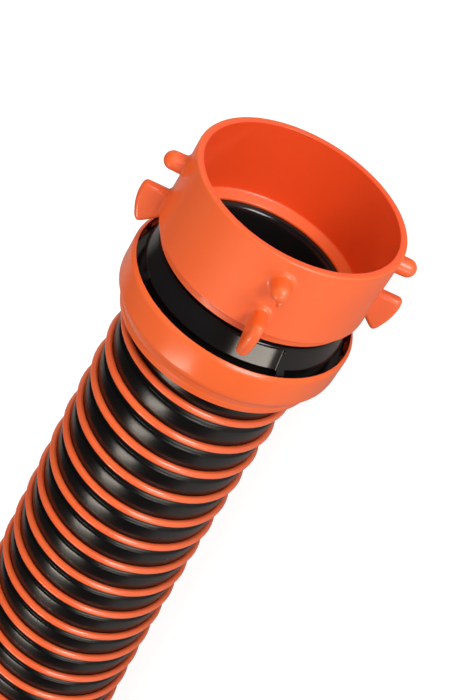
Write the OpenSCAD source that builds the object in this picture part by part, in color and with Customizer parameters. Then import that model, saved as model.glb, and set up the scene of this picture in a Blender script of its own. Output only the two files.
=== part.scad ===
// Three inch sewer hose with a swivel lug fitting on one end and a swivel bayonet
// fitting on the other. All sizes are in millimetres.
//
// Both fittings are drawn about their own axis, where z is the depth behind the lug
// rim. The hose's cut end is at z = hub_depth in both of them.

/* [Hose] */
// Outside diameter over the ribs
hose_od = 88; // [84:0.5:92]
// Bore of the hose, across the flats of its faces
hose_bore = 75.6; // [74:0.2:76.4]
// Distance from one rib to the next
rib_pitch = 17.6; // [15:0.2:22]
// How far the wall between two ribs lies below them
rib_height = 2; // [1:0.1:2.4]
// Radius of the put-away turns at the middle of the hose
coil_r = 440; // [400:5:480]
// Length of the straight between the half turn and the quarter turn
back_length = 265; // [200:5:400]
// Length of the stretch over which the hose rises to its fitting
rise_length = 400; // [300:10:500]

/* [Lug collar] */
// Outside diameter of the collar at its rim
collar_od = 98; // [97:0.2:99]
// Outside diameter of the collar at its base
collar_base_od = 99.6; // [99:0.2:101]
// Thickness of the collar's wall
collar_wall = 3.4; // [3:0.1:3.6]
// Depth of the mouth, from the rim to the edge of the shelf
mouth_depth = 38; // [36:0.5:40]
// Number of lugs, and of the wings behind them
lug_count = 4; // [4:1:4]
// Diameter of a lug
lug_d = 8.3; // [7:0.1:9]
// Distance from the rim to the middle of the lugs
lug_setback = 11.4; // [10:0.1:13]
// Distance from the axis to a lug's tip
lug_reach = 59; // [57:0.2:60]
// Distance from the axis to a wing's highest point
wing_reach = 61.7; // [59:0.1:63]
// Distance from the rim to a wing's front edge
wing_setback = 26.4; // [24:0.2:28]
// Length of a wing along the fitting
wing_length = 19.8; // [17:0.2:20]
// Thickness of a wing
wing_w = 5.4; // [4:0.1:7]

/* [Bayonet collar] */
// Outside diameter of the bayonet collar
bayonet_od = 106.4; // [106:0.1:106.6]
// Bore of the socket that goes over the lug collar
socket_bore = 99.2; // [99:0.1:100]
// Distance from the socket's mouth to the gasket
socket_depth = 20; // [19:0.2:22]
// Depth of the hooks' lips, from the mouth to the slot
hook_lip = 4; // [3.6:0.1:4.2]
// Angle that the collar turns to lock
hook_turn = 24; // [20:1:30]
// Thickness of the rubber face gasket
gasket_t = 2.5; // [2:0.1:3]

/* [Hub] */
// Depth of the hose's cut end behind the lug rim
hub_depth = 60; // [60:0.5:64]
// Length of the spigot inside the hose
spigot_length = 60; // [50:1:70]
// Bore of the hub at its face
hub_bore = 76; // [74:0.2:76.4]
// Bore of the spigot
spigot_bore = 70; // [68:0.5:70.5]
// Outside diameter of the hub's skirt at its lower edge
skirt_od = 96.7; // [96:0.1:98]
// Distance from the skirt's lower edge to the hose's cut end
skirt_gap = 4; // [3.5:0.1:5]
// Number of keys between the skirt and the clip flange
key_count = 4; // [4:1:8]
// Width of a key
key_w = 4.2; // [3:0.1:6]
// Thickness of the swivel seal
seal_d = 1.4; // [1.2:0.1:1.5]

/* [Locking ring] */
// Outside diameter of the locking ring
lock_od = 106.6; // [106.4:0.1:108]
// Distance from the locking ring's front rim to the hose's cut end
lock_cover = 3.6; // [3:0.1:3.8]
// Length of the locking ring
lock_length = 26.6; // [25:0.1:28]
// Length of the ring's lip over the hose
lock_lip = 3.4; // [3:0.1:4]
// Number of snap teeth inside the rim
tooth_count = 30; // [24:1:40]

/* [Clearances] */
// Gap in the swivel, both along and across the axis
swivel_gap = 0.15; // [0.1:0.01:0.3]
// Gap between pieces that are pushed together
fit_gap = 0.3; // [0.2:0.05:0.4]

/* [Hidden] */
$fn = 96;

orange = "#ee5a2a";
black = "#17171a";
rubber = "#26262a";

// The fittings lie with their locking rings on the floor.
axis_z = lock_od / 2;
hose_r = hose_od / 2;
valley_r = hose_r - rib_height;

// The lug fitting's middle is over the origin, and its mouth faces +X.
spigot_depth = hub_depth + spigot_length;
mouth_x = spigot_depth / 2;
hose_x = mouth_x - hub_depth;
skirt_depth = hub_depth - skirt_gap;
lock_front = hub_depth - lock_cover;

// The shelf that both collars swivel on: a cone that falls towards the bore.
shelf_out_r = collar_od / 2 - collar_wall;
shelf_in_r = hub_bore / 2 + 3.3;
shelf_slope = 0.634;
shelf_t = 1.1;
lip_r = 47.6;
lip_depth = mouth_depth + 5;
cavity_r = shelf_out_r;
bead_r = cavity_r - 1;
bead_t = 1.1;
edge_r = 1.2;

function shelf_top(r) = mouth_depth + (shelf_out_r - r) * shelf_slope;
function shelf_under(r) = shelf_top(r) + shelf_t;

// The hub's flange runs between the shelf and the snap bead.
flange_r = cavity_r - swivel_gap;
flange_under = lip_depth - bead_t - swivel_gap;
neck_r = bead_r - fit_gap;
seal_r = 42.8;
seal_groove_w = seal_d + 0.2;
skirt_top_r = 45.6;
skirt_top = lip_depth + 2.8;
spigot_r = hose_bore / 2 - fit_gap;
barb_h = 0.2;
cup_r = hose_r + fit_gap;
cup_out_r = cup_r + 2.2;
cup_depth = hub_depth + 6;
clip_r = lock_od / 2 - 2.1;
clip_top = hub_depth + 1.6;
clip_t = 2.4;
key_turn = 20;

// Inside of the locking ring. The keys end clear of its teeth.
ring_in_r = clip_r + fit_gap;
ring_floor = lock_front + 16;
ring_lip_r = 48.2;
ring_end = lock_front + lock_length;
tooth_h = 1;
tooth_t = 2;
key_reach = ring_in_r - tooth_h - fit_gap;

// The bayonet collar sits on the same shelf, so its mouth is behind the lug rim.
bayonet_seat = mouth_depth - 1;
bayonet_mouth = bayonet_seat - gasket_t - socket_depth;
bayonet_base = mouth_depth + 2.2;
gasket_groove = 0.8;
gasket_top = bayonet_seat - gasket_t;
slot_w = lug_d + 1;
slot_front = bayonet_mouth + hook_lip;
slot_back = slot_front + slot_w;

// Points on an arc in the (radius, depth) plane.
function arc(cr, cz, r, a0, a1, n = 6) =
    [for (i = [0:n]) let (a = a0 + (a1 - a0) * i / n) [cr + r * cos(a), cz + r * sin(a)]];

// ---- Route of the hose ----

// The stretch that lies out from the lug fitting, at the middle of the hose.
run_route = [
    [hose_x, 0, axis_z], [-50, 0, axis_z], [-100, -0.5, 52.8], [-150, -1.7, 51.7],
    [-200, -3.6, 50.2], [-250, -6.3, 48.4], [-300, -9.7, 46.7], [-350, -13.8, 45.3],
    [-400, -18.7, 44.3], [-450, -24.3, 44]
];
run_end = run_route[len(run_route) - 1];
run_before = run_route[len(run_route) - 2];
run_angle = atan2(run_end.y - run_before.y, run_end.x - run_before.x) + 360;

function steps(p) = [for (i = [0:len(p) - 2]) norm(p[i + 1] - p[i])];
function sums(s, i = 0, total = 0, out = [0]) =
    i == len(s) ? out : sums(s, i + 1, total + s[i], concat(out, [total + s[i]]));

run_steps = steps(run_route);
run_at = sums(run_steps);
run_length = run_at[len(run_at) - 1];

// Direction of the route at one of its points. It ends level.
function run_way(i) =
    let (a = max(i - 1, 0), b = i + 1)
    b == len(run_route) ? heading(run_angle)
    : (run_route[b] - run_route[a]) / (run_at[b] - run_at[a]);

// A smooth curve through the route's points.
function run_point(s) =
    let (
        i = max([for (k = [0:len(run_steps) - 1]) run_at[k] <= s + 0.001 ? k : 0]),
        d = run_steps[i],
        u = min((s - run_at[i]) / d, 1),
        u2 = u * u,
        u3 = u2 * u
    )
    run_route[i] * (2 * u3 - 3 * u2 + 1) + run_way(i) * d * (u3 - 2 * u2 + u)
    + run_route[i + 1] * (3 * u2 - 2 * u3) + run_way(i + 1) * d * (u3 - u2);

// The put-away turns: straight, half round to face +X, back, a quarter round to face +Y
// and straight into the bayonet fitting.
straight = hose_od;
half_turn = 360 - run_angle;
half_length = coil_r * half_turn * PI / 180;
quarter_length = coil_r * PI / 2;
coil_length = half_length + back_length + quarter_length + 2 * straight;

function heading(a) = [cos(a), sin(a), 0];
half_from = run_end + straight * heading(run_angle);
half_mid = half_from + coil_r * heading(run_angle + 90);
half_to = half_mid - [0, coil_r, 0];
quarter_mid = half_to + [back_length, coil_r, 0];
quarter_to = quarter_mid + [coil_r, 0, 0];
hose_end = [quarter_to.x, quarter_to.y + straight, axis_z];

function rise(s) =
    let (u = max(0, min(1, (s - (coil_length - straight - rise_length)) / rise_length)))
    (axis_z - run_end.z) * u * u * (3 - 2 * u);

function coil_flat(s) =
    let (
        a = s - straight,
        b = a - half_length,
        c = b - back_length,
        d = c - quarter_length
    )
    a < 0 ? run_end + s * heading(run_angle)
    : b < 0 ? half_mid - coil_r * heading(run_angle + 90 + a / coil_r * 180 / PI)
    : c < 0 ? half_to + [b, 0, 0]
    : d < 0 ? quarter_mid + coil_r * heading(270 + c / coil_r * 180 / PI)
    : quarter_to + [0, d, 0];

function coil_point(s) = coil_flat(s) + [0, 0, rise(s)];

function on_route(coiled, s) = coiled ? coil_point(s) : run_point(s);
function route_length(coiled) = coiled ? coil_length : run_length;

// ---- Ribbed hose ----

function unit(v) = v / norm(v);

// Direction of the hose at s. The ends are square to what they meet.
function way(coiled, s) =
    let (all = route_length(coiled))
    s < 1 ? heading(coiled ? run_angle : 180)
    : s > all - 1 ? heading(coiled ? 90 : run_angle)
    : unit(on_route(coiled, s + 0.5) - on_route(coiled, s - 0.5));

// One ring of points round the hose. A point of it is at the very bottom.
function ring(coiled, s, r, sides) =
    let (
        mid = on_route(coiled, s),
        fwd = way(coiled, s),
        side = unit(cross(fwd, [0, 0, 1])),
        up = cross(side, fwd)
    )
    [for (i = [0:sides - 1]) let (a = 360 * i / sides)
        mid + r * (cos(a) * side + sin(a) * up)];

// Two triangles for each side between ring a and ring b, whose points start there.
function band(a, b, sides) =
    [for (i = [0:sides - 1]) let (j = (i + 1) % sides) each
        [[a + i, b + i, b + j], [a + i, b + j, a + j]]];

// One unbroken ribbed tube: two rings a rib outside, and a ring every few ribs inside.
module ribbed_hose(coiled, sides, bore_step) {
    all = route_length(coiled);
    ribs = round(all / rib_pitch);
    outside = 2 * ribs;
    inside = ceil(ribs / bore_step);
    bore_r = hose_bore / 2 / cos(180 / sides);
    points = concat(
        [for (k = [0:outside]) each
            ring(coiled, all * k / outside, k % 2 == 0 ? valley_r : hose_r, sides)],
        [for (k = [0:inside]) each ring(coiled, all * k / inside, bore_r, sides)]
    );
    bore_at = (outside + 1) * sides;
    last_out = outside * sides;
    last_in = bore_at + inside * sides;
    faces = concat(
        [for (k = [0:outside - 1]) each band(k * sides, (k + 1) * sides, sides)],
        [for (k = [0:inside - 1]) each
            band(bore_at + (k + 1) * sides, bore_at + k * sides, sides)],
        band(bore_at, 0, sides),
        band(last_out, last_in, sides)
    );
    polyhedron(points, faces, convexity = 10);
}

// Least gap between two stretches of the hose that lie over four diameters apart.
gap_step = 40;
hose_line = concat(
    [for (s = [0:gap_step:run_length]) run_point(s)],
    [for (s = [gap_step / 2:gap_step:coil_length]) coil_point(s)]
);
apart = ceil(4 * hose_od / gap_step);
least_gap = min([for (i = [0:len(hose_line) - 1 - apart], j = [i + apart:len(hose_line) - 1])
    norm(hose_line[i] - hose_line[j])]) - hose_od;
echo(least_gap_of_the_hose_to_itself_mm = least_gap);
echo(hose_length_between_cut_ends_mm = run_length + coil_length);

// ---- Shared pieces of the two fittings ----

module revolve(points) rotate_extrude() polygon(points);

// Puts a fitting on the hose: its local z runs from its mouth into the hose.
module fitting_at(end, angle) {
    translate(end) rotate([0, 0, angle]) rotate([0, 90, 0]) translate([0, 0, -hub_depth])
        children();
}

module at_lug() fitting_at([hose_x, 0, axis_z], 180) children();
module at_bayonet() fitting_at(hose_end, 270) children();

module around(count, turn = 0) {
    for (i = [0:count - 1]) rotate([0, 0, turn + 360 * i / count]) children();
}

// Inside of a collar under its shelf: the flange's cavity and the snap bead.
swivel_inside = [
    [bead_r, lip_depth - 0.3], [bead_r, lip_depth - bead_t],
    [cavity_r, lip_depth - bead_t], [cavity_r, shelf_under(cavity_r)],
    [shelf_in_r, shelf_under(shelf_in_r)], [shelf_in_r, shelf_top(shelf_in_r)]
];
swivel_lip = [
    [lip_r, mouth_depth + 0.3], [lip_r, mouth_depth + 2], [lip_r - 0.6, mouth_depth + 2.4],
    [lip_r - 0.6, lip_depth - 0.4], [lip_r - 1, lip_depth], [bead_r + 0.3, lip_depth]
];

// A wing's outline: x is the distance from the axis and y the depth.
wing_root = shelf_out_r + 0.6;
wing_outline = concat(
    [[wing_root, wing_setback]],
    arc(wing_reach - 2.2, wing_setback + 2, 2, 270, 340, 4),
    [
        [wing_reach, wing_setback + wing_length * 0.26],
        [wing_reach - 0.3, wing_setback + wing_length * 0.44],
        [wing_reach - 1.2, wing_setback + wing_length * 0.64]
    ],
    arc(wing_reach - 6.2, wing_setback + wing_length - 2, 2, 40, 130, 4),
    [[wing_root, mouth_depth + 0.3]]
);

module wing(bevel = 1.4) {
    rotate([90, 0, 0]) hull() {
        linear_extrude(wing_w - 2 * bevel, center = true) polygon(wing_outline);
        linear_extrude(wing_w, center = true) offset(delta = -bevel) polygon(wing_outline);
    }
}

module wings() around(lug_count, 45) wing();

// ---- Lug fitting ----

module lug() {
    dome = lug_reach - lug_d / 2;
    foot = shelf_out_r + 1;
    wall_r = collar_od / 2;
    translate([0, 0, lug_setback]) rotate([0, 90, 0]) {
        translate([0, 0, foot]) cylinder(h = dome - foot, d = lug_d, $fn = 48);
        translate([0, 0, dome]) sphere(d = lug_d, $fn = 48);
        translate([0, 0, wall_r - 0.8]) cylinder(h = 2.2, d1 = lug_d + 3, d2 = lug_d, $fn = 48);
    }
}

module lug_collar() {
    rim_r = collar_od / 2;
    base_r = collar_base_od / 2;
    color(orange) at_lug() {
        revolve(concat(
            arc(rim_r - edge_r, edge_r, edge_r, 270, 360),
            [[rim_r, 20]],
            arc(base_r - 0.6, mouth_depth - 1.1, 0.6, 0, 90, 3),
            swivel_lip,
            swivel_inside,
            arc(shelf_out_r - 0.8, mouth_depth - 0.6, 0.8, 60, 0, 3),
            arc(shelf_out_r + edge_r, edge_r, edge_r, 180, 270)
        ));
        around(lug_count, 45) lug();
        wings();
    }
}

// ---- Bayonet fitting ----

module hook_slot() {
    far = bayonet_od;
    rotate([0, 0, -asin(slot_w / bayonet_od)])
        translate([0, 0, bayonet_mouth - 1])
            rotate_extrude(angle = 2 * asin(slot_w / bayonet_od))
                translate([shelf_out_r, 0]) square([far, slot_back - bayonet_mouth + 1]);
    rotate([0, 0, -asin(slot_w / bayonet_od)])
        translate([0, 0, slot_front])
            rotate_extrude(angle = hook_turn + 2 * asin(slot_w / bayonet_od))
                translate([shelf_out_r, 0]) square([far, slot_w]);
}

module bayonet_collar() {
    out_r = bayonet_od / 2;
    bore_r = socket_bore / 2;
    color(orange) at_bayonet() {
        difference() {
            revolve(concat(
                arc(out_r - edge_r, bayonet_mouth + edge_r, edge_r, 270, 360),
                arc(out_r - 1, bayonet_base - 1, 1, 0, 90, 3),
                [[lip_r, bayonet_base]],
                [for (p = swivel_lip) if (p.y > bayonet_base) p],
                swivel_inside,
                [[shelf_out_r, shelf_top(shelf_out_r)], [shelf_out_r, bayonet_seat]],
                [
                    [bore_r + gasket_groove, bayonet_seat],
                    [bore_r + gasket_groove, gasket_top - fit_gap],
                    [bore_r, gasket_top - fit_gap]
                ],
                arc(bore_r + 1, bayonet_mouth + 1, 1, 180, 270, 3)
            ));
            around(lug_count, 45 - hook_turn / 2) hook_slot();
        }
        intersection() {
            wings();
            translate([0, 0, slot_back + 1]) difference() {
                cylinder(h = lip_depth, r = 2 * out_r);
                translate([0, 0, -1]) cylinder(h = lip_depth + 2, r = out_r - 1.5);
            }
        }
    }
}

module bayonet_gasket() {
    out_r = socket_bore / 2 + gasket_groove - fit_gap;
    in_r = shelf_out_r + 0.2;
    face_r = socket_bore / 2 - fit_gap;
    color(rubber) at_bayonet() translate([0, 0, gasket_top]) revolve([
        [in_r, 0.3], [in_r + 0.3, 0], [face_r, 0], [face_r, 0.3], [out_r - 0.2, 0.3],
        [out_r, 0.5], [out_r, gasket_t], [in_r, gasket_t]
    ]);
}

// ---- Hub, seal and locking ring: the same in both fittings ----

module key() {
    translate([cup_out_r - 1, -key_w / 2, skirt_depth - 2])
        cube([key_reach - cup_out_r + 1, key_w, clip_top - skirt_depth + 2.5]);
}

module hub() {
    flange_top = function (r) shelf_under(r) + swivel_gap;
    face_r = hub_bore / 2;
    groove_in = seal_r - seal_groove_w / 2;
    groove_out = seal_r + seal_groove_w / 2;
    groove_floor = flange_top(groove_in) + seal_d;
    skirt_r = skirt_od / 2;
    color(black) {
        revolve(concat(
            arc(face_r + 2, flange_top(shelf_in_r) + 1.4, 2, 200, 270, 5),
            [
                [shelf_in_r, flange_top(shelf_in_r)], [groove_in, flange_top(groove_in)],
                [groove_in, groove_floor], [groove_out, groove_floor],
                [groove_out, flange_top(groove_out)], [flange_r, flange_top(flange_r)],
                [flange_r, flange_under], [neck_r, flange_under],
                [neck_r, lip_depth + 0.8], [neck_r - 0.8, lip_depth + 1.4],
                [neck_r - 0.8, skirt_top - 0.6], [skirt_top_r - 0.5, skirt_top - 0.3],
                [skirt_top_r, skirt_top + 0.3]
            ],
            arc(skirt_r - 0.9, skirt_depth - 0.9, 0.9, 10, 90, 4),
            [
                [cup_out_r, skirt_depth], [cup_out_r, clip_top], [clip_r, clip_top],
                [clip_r, clip_top + clip_t * 0.5], [clip_r - 0.8, clip_top + clip_t],
                [cup_out_r, clip_top + clip_t], [cup_out_r, cup_depth],
                [cup_r, cup_depth], [cup_r, hub_depth], [spigot_r, hub_depth]
            ],
            [for (k = [1:3]) each [
                [spigot_r, hub_depth + 14 * k], [spigot_r + barb_h, hub_depth + 14 * k],
                [spigot_r, hub_depth + 14 * k + 6]
            ]],
            [
                [spigot_r, spigot_depth - 2], [spigot_r - 1, spigot_depth],
                [spigot_bore / 2, spigot_depth], [spigot_bore / 2, hub_depth + 6],
                [face_r, hub_depth - 4]
            ]
        ));
        around(key_count, key_turn) key();
    }
}

module seal() {
    floor_z = shelf_under(seal_r - seal_groove_w / 2) + swivel_gap + seal_d;
    color(rubber) rotate_extrude() translate([seal_r, floor_z - seal_d / 2])
        circle(d = seal_d, $fn = 32);
}

module lock_ring() {
    out_r = lock_od / 2;
    color(orange) {
        revolve(concat(
            [[ring_in_r, lock_front + 0.3], [ring_in_r + 0.3, lock_front]],
            arc(out_r - 1.6, lock_front + 1.8, 1.6, 290, 360, 4),
            arc(out_r - 4.4, ring_floor - 2, 4.4, 0, 62, 5),
            [[ring_lip_r + 0.2, ring_end - lock_lip]],
            arc(ring_lip_r - 0.6, ring_end - 0.6, 0.6, 0, 90, 3),
            [
                [cup_r, ring_end], [cup_r, ring_floor + 4], [cup_r + 1.5, ring_floor + 2],
                [ring_in_r - 3, ring_floor], [ring_in_r, ring_floor - 3]
            ]
        ));
        around(tooth_count) tooth();
    }
}

// A snap tooth that hooks over the hub's clip flange.
module tooth() {
    reach = ring_in_r - tooth_h;
    wide = 360 / tooth_count / 2;
    rotate([0, 0, -wide / 2]) rotate_extrude(angle = wide) polygon([
        [reach, clip_top - tooth_t - fit_gap + 1], [reach, clip_top - fit_gap],
        [ring_in_r + 0.2, clip_top - fit_gap], [ring_in_r + 0.2, clip_top - tooth_t - fit_gap]
    ]);
}

module lug_hub() at_lug() hub();
module lug_seal() at_lug() seal();
module lug_lock_ring() at_lug() lock_ring();
module bayonet_hub() at_bayonet() hub();
module bayonet_seal() at_bayonet() seal();
module bayonet_lock_ring() at_bayonet() lock_ring();

module hose_run() color(black) ribbed_hose(false, 16, 2);
module hose_coil() color(black) ribbed_hose(true, 8, 3);

lug_collar();
lug_seal();
lug_hub();
lug_lock_ring();
hose_run();
hose_coil();
bayonet_lock_ring();
bayonet_hub();
bayonet_seal();
bayonet_collar();
bayonet_gasket();
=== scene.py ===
"""A three inch sewer hose with its two swivel fittings, dressed for a studio view.

The sizes in the classes are millimetres and every mesh is stored in metres. A fitting is
drawn about its own axis, where z is the depth behind the lug rim, and is then put in its
seat on the hose.
"""

import logging
import math
from dataclasses import dataclass, field
from enum import Enum
from typing import Any, Callable, Sequence

import bmesh
import bpy
import numpy as np
from mathutils import Matrix, Vector


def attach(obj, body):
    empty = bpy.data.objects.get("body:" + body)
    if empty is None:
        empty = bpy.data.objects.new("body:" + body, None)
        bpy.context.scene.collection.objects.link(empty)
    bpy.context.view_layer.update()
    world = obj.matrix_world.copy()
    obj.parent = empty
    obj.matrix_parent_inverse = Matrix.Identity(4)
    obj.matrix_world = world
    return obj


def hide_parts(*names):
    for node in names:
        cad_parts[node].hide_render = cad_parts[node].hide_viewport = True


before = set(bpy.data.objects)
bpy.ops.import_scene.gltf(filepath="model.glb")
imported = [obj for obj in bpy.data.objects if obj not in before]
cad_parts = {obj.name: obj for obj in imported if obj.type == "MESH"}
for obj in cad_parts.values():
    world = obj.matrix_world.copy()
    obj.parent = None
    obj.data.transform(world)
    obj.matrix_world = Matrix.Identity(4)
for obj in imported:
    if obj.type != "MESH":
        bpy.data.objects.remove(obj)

log = logging.getLogger("sewer_hose")
MM = 0.001
TAU = 2 * math.pi
Point = tuple[float, float]
Spot = tuple[float, float, float]
Colour = tuple[float, float, float]
WARM: Colour = (1.0, 0.9, 0.78)
# A round takes at most this share of an edge, and a smaller one than this is left sharp.
ROUND_SHARE = 0.44
LEAST_ROUND = 0.02
# The round at a part's foot, in millimetres: how deep it goes into the wall, how far in
# under the part, and how far its surface is sunk.
BURIED = 0.5
UNDER = 0.4
SUNK = 0.012


class Body(Enum):
    """Bodies of the frame that pieces ride on."""

    HOSE = "hose"
    LUG_RING = "lug_ring"
    BAYONET_RING = "bayonet_ring"


class Slot(Enum):
    """Material slots of the record."""

    ORANGE = "fitting_orange"
    HUB = "hub_black"
    HOSE = "hose_black"
    RUBBER = "seal_rubber"


# ---- Node trees ----


class Signal:
    """An output socket that takes part in Python arithmetic."""

    def __init__(self, tree: "Tree", socket: bpy.types.NodeSocket) -> None:
        """Wraps one output socket of a tree."""
        self.tree = tree
        self.socket = socket

    def __add__(self, other: Any) -> "Signal":
        """self + other."""
        return self.tree.math("ADD", self, other)

    def __radd__(self, other: Any) -> "Signal":
        """other + self."""
        return self.tree.math("ADD", other, self)

    def __sub__(self, other: Any) -> "Signal":
        """self - other."""
        return self.tree.math("SUBTRACT", self, other)

    def __rsub__(self, other: Any) -> "Signal":
        """other - self."""
        return self.tree.math("SUBTRACT", other, self)

    def __mul__(self, other: Any) -> "Signal":
        """self * other."""
        return self.tree.math("MULTIPLY", self, other)

    def __rmul__(self, other: Any) -> "Signal":
        """other * self."""
        return self.tree.math("MULTIPLY", other, self)

    def __truediv__(self, other: Any) -> "Signal":
        """self / other."""
        return self.tree.math("DIVIDE", self, other)

    def __rtruediv__(self, other: Any) -> "Signal":
        """other / self."""
        return self.tree.math("DIVIDE", other, self)


class Tree:
    """Adds nodes to a shader tree or a geometry tree."""

    def __init__(self, tree: bpy.types.NodeTree, family: str) -> None:
        """Keeps the tree and the prefix of its node types."""
        self.tree = tree
        self.family = family

    def node(
        self,
        kind: str,
        settings: dict[str, Any] | None = None,
        sockets: dict[Any, Any] | None = None,
    ) -> bpy.types.Node:
        """Adds a node, sets it up and feeds its sockets.

        Args:
            kind: the node's type, without the tree's prefix where it has one.
            settings: properties that are set first.
            sockets: values, Signals or sockets by input name or number.

        Returns:
            The new node.
        """
        known = kind.startswith(("ShaderNode", "GeometryNode", "FunctionNode"))
        made = self.tree.nodes.new(kind if known else self.family + kind)
        for key, value in (settings or {}).items():
            setattr(made, key, value)
        for key, value in (sockets or {}).items():
            self.feed(made.inputs[key], value)
        return made

    def feed(self, socket: bpy.types.NodeSocket, value: Any) -> None:
        """Links a Signal or a socket to an input, or sets the input's value."""
        if isinstance(value, Signal):
            self.tree.links.new(value.socket, socket)
        elif isinstance(value, bpy.types.NodeSocket):
            self.tree.links.new(value, socket)
        else:
            socket.default_value = value

    def out(
        self,
        kind: str,
        output: Any = 0,
        settings: dict[str, Any] | None = None,
        sockets: dict[Any, Any] | None = None,
    ) -> Signal:
        """Adds a node and wraps the output of that name or number."""
        return Signal(self, self.node(kind, settings, sockets).outputs[output])

    def math(self, operation: str, first: Any, second: Any = None) -> Signal:
        """Adds a Math node on one or two values."""
        sockets = {0: first} if second is None else {0: first, 1: second}
        return self.out("ShaderNodeMath", 0, {"operation": operation}, sockets)

    def vector(self, operation: str, first: Any, second: Any = None, scale: Any = None) -> Signal:
        """Adds a Vector Math node.

        Args:
            operation: the node's operation.
            first: the first vector.
            second: the second vector, where the operation has one.
            scale: the factor of the SCALE operation.

        Returns:
            The vector that comes out.
        """
        sockets: dict[Any, Any] = {0: first}
        if second is not None:
            sockets[1] = second
        if scale is not None:
            sockets["Scale"] = scale
        return self.out("ShaderNodeVectorMath", "Vector", {"operation": operation}, sockets)

    def mix(self, factor: Any, first: Any, second: Any) -> Signal:
        """Mixes two colours, from the first at a factor of 0 to the second at 1."""
        sides = [(*c, 1.0) if isinstance(c, tuple) else c for c in (first, second)]
        sockets = {0: factor, 6: sides[0], 7: sides[1]}
        return self.out("ShaderNodeMix", 2, {"data_type": "RGBA"}, sockets)

    def ramp(self, value: Any, low: float, high: float, start: float, end: float) -> Signal:
        """Maps a value from low..high to start..end, clamped."""
        sockets = {0: value, 1: low, 2: high, 3: start, 4: end}
        return self.out("ShaderNodeMapRange", 0, {"clamp": True}, sockets)

    def noise(self, place: Any, scale: float, detail: float = 2.0) -> Signal:
        """Adds a Noise texture at a place."""
        sockets = {"Vector": place, "Scale": scale, "Detail": detail}
        return self.out("ShaderNodeTexNoise", 0, None, sockets)

    def bump(self, height: Any, depth_mm: float) -> Signal:
        """Adds a Bump node whose height of 1 stands for a depth in millimetres."""
        sockets = {"Height": height, "Strength": 1.0, "Distance": depth_mm * MM}
        return self.out("ShaderNodeBump", 0, None, sockets)

    def attribute(self, name: str) -> Signal:
        """Reads an attribute of the mesh."""
        return self.out("Attribute", "Fac", {"attribute_name": name})

    def drawn_lines(self, grain: Point) -> Signal:
        """Noise drawn out along the hose, by its grain across the lane and along it."""
        lane, along = self.attribute("lane"), self.attribute("along")
        grid = self.out("CombineXYZ", sockets={0: lane * grain[0], 1: along * grain[1]})
        return self.noise(grid, 1.0, 3.0)

    def rays(self) -> tuple[Signal, Signal]:
        """Tells camera rays, and glossy or transmitted ones, from all others."""
        path = self.node("LightPath").outputs
        other = self.math("MAXIMUM", path["Is Glossy Ray"], path["Is Transmission Ray"])
        return Signal(self, path["Is Camera Ray"]), other

    def dress(self, sockets: dict[str, Any]) -> None:
        """Ends a material in a Principled shader."""
        shader = self.node("BsdfPrincipled", sockets=sockets)
        self.node("OutputMaterial", sockets={"Surface": shader.outputs[0]})


def new_material(name: str) -> tuple[bpy.types.Material, Tree]:
    """Makes an empty node material and its tree."""
    material = bpy.data.materials.new(name)
    material.use_nodes = True
    material.node_tree.nodes.clear()
    return material, Tree(material.node_tree, "ShaderNode")


# ---- Finishes ----


@dataclass(frozen=True)
class MouldedPlastic:
    """A moulded plastic: slow drifts of colour and gloss, and a fine orange peel.

    A colour for the faces that the attribute mouth marks is painted shade: a redder colour
    that stands for light bounced round inside the mouth.
    """

    name: str
    colour: Colour
    drift: Colour
    roughness: float
    roughness_drift: float = 0.06
    drift_mm: float = 26.0
    drift_range: Point = (0.3, 0.7)
    peel_mm: float = 1.1
    peel_depth_mm: float = 0.003
    specular: float = 0.5
    coat: float = 0.0
    coat_roughness: float = 0.16
    # Painted shade: a redder colour for the faces inside the mouth, for light bounced round there.
    mouth_shade: Colour | None = None

    def build(self) -> bpy.types.Material:
        """Makes the material."""
        material, tree = new_material(self.name)
        place = tree.out("TexCoord", "Object")
        clouds = tree.noise(place, 1 / (self.drift_mm * MM), 3.0)
        share = tree.ramp(clouds, *self.drift_range, 0.0, 1.0)
        peel = tree.noise(place, 1 / (self.peel_mm * MM))
        colour = tree.mix(share, self.colour, self.drift)
        # Painted shade: the faces inside the mouth take a redder colour for the light bounced
        # round in there.
        if self.mouth_shade:
            colour = tree.mix(tree.attribute("mouth"), colour, self.mouth_shade)
        tree.dress(
            {
                "Base Color": colour,
                "Roughness": self.roughness + share * self.roughness_drift,
                "Normal": tree.bump(peel, self.peel_depth_mm),
                "Specular IOR Level": self.specular,
                "Coat Weight": self.coat,
                "Coat Roughness": self.coat_roughness,
            }
        )
        return material


@dataclass(frozen=True)
class DrawnRib:
    """The rib's coloured plastic, with the fine lines that the die draws along it."""

    name: str
    colour: Colour
    drift: Colour
    roughness: float
    grain: Point = (26.0, 14.0)
    cloud_scale: float = 55.0
    line_depth_mm: float = 0.012
    line_dulling: float = 0.1
    coat: float = 1.0
    coat_roughness: float = 0.06

    def build(self) -> bpy.types.Material:
        """Makes the material, which reads the attributes lane and along."""
        material, tree = new_material(self.name)
        lines = tree.drawn_lines(self.grain)
        cloud = tree.noise(tree.out("TexCoord", "Object"), self.cloud_scale)
        share = tree.ramp(cloud, 0.35, 0.65, 0.0, 1.0)
        tree.dress(
            {
                "Base Color": tree.mix(share, self.colour, self.drift),
                "Roughness": self.roughness + lines * self.line_dulling,
                "Coat Weight": self.coat,
                "Coat Roughness": self.coat_roughness,
                "Normal": tree.bump(lines, self.line_depth_mm),
            }
        )
        return material


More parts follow.
